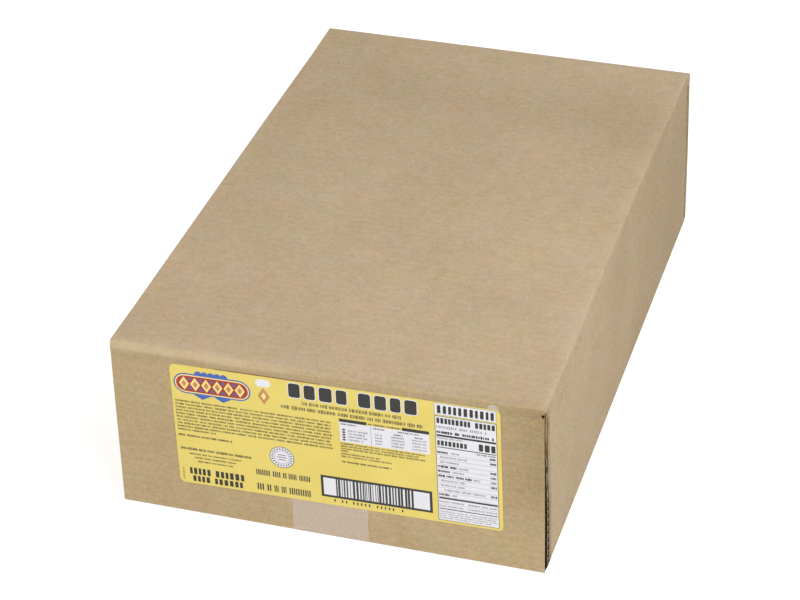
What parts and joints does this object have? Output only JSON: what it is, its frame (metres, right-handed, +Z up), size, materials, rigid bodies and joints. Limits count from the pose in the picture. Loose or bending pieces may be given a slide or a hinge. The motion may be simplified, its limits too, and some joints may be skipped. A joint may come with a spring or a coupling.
{
  "type": "corrugated shipping case",
  "caption": "Shut corrugated shipping case for frozen food: flat kraft carton with a yellow paper label on its front end and clear tape over both end flaps.",
  "frame": {"origin": "middle of the bounding box's bottom, on the surface that the case stands on", "axes": "+X across the case to its right as seen from the label, +Y along its length away from the labelled end, +Z up"},
  "size_m": [0.2814, 0.449, 0.124],
  "materials": {
    "kraft_board": "matte unbleached kraft liner, faint flute lines, bare corrugated edges",
    "label_paper": "satin coated label paper, yellow, printed with plain bars and fields",
    "clear_tape": "thin clear packing tape, slightly milky, soft sheen",
    "clear_film": "small round clear film seal, slightly milky"
  },
  "bodies": {
    "root": {"carton": "kraft_board", "label": "label_paper", "tape_front": "clear_tape", "tape_back": "clear_tape", "dot_sticker": "clear_film"}
  },
  "joints": []
}
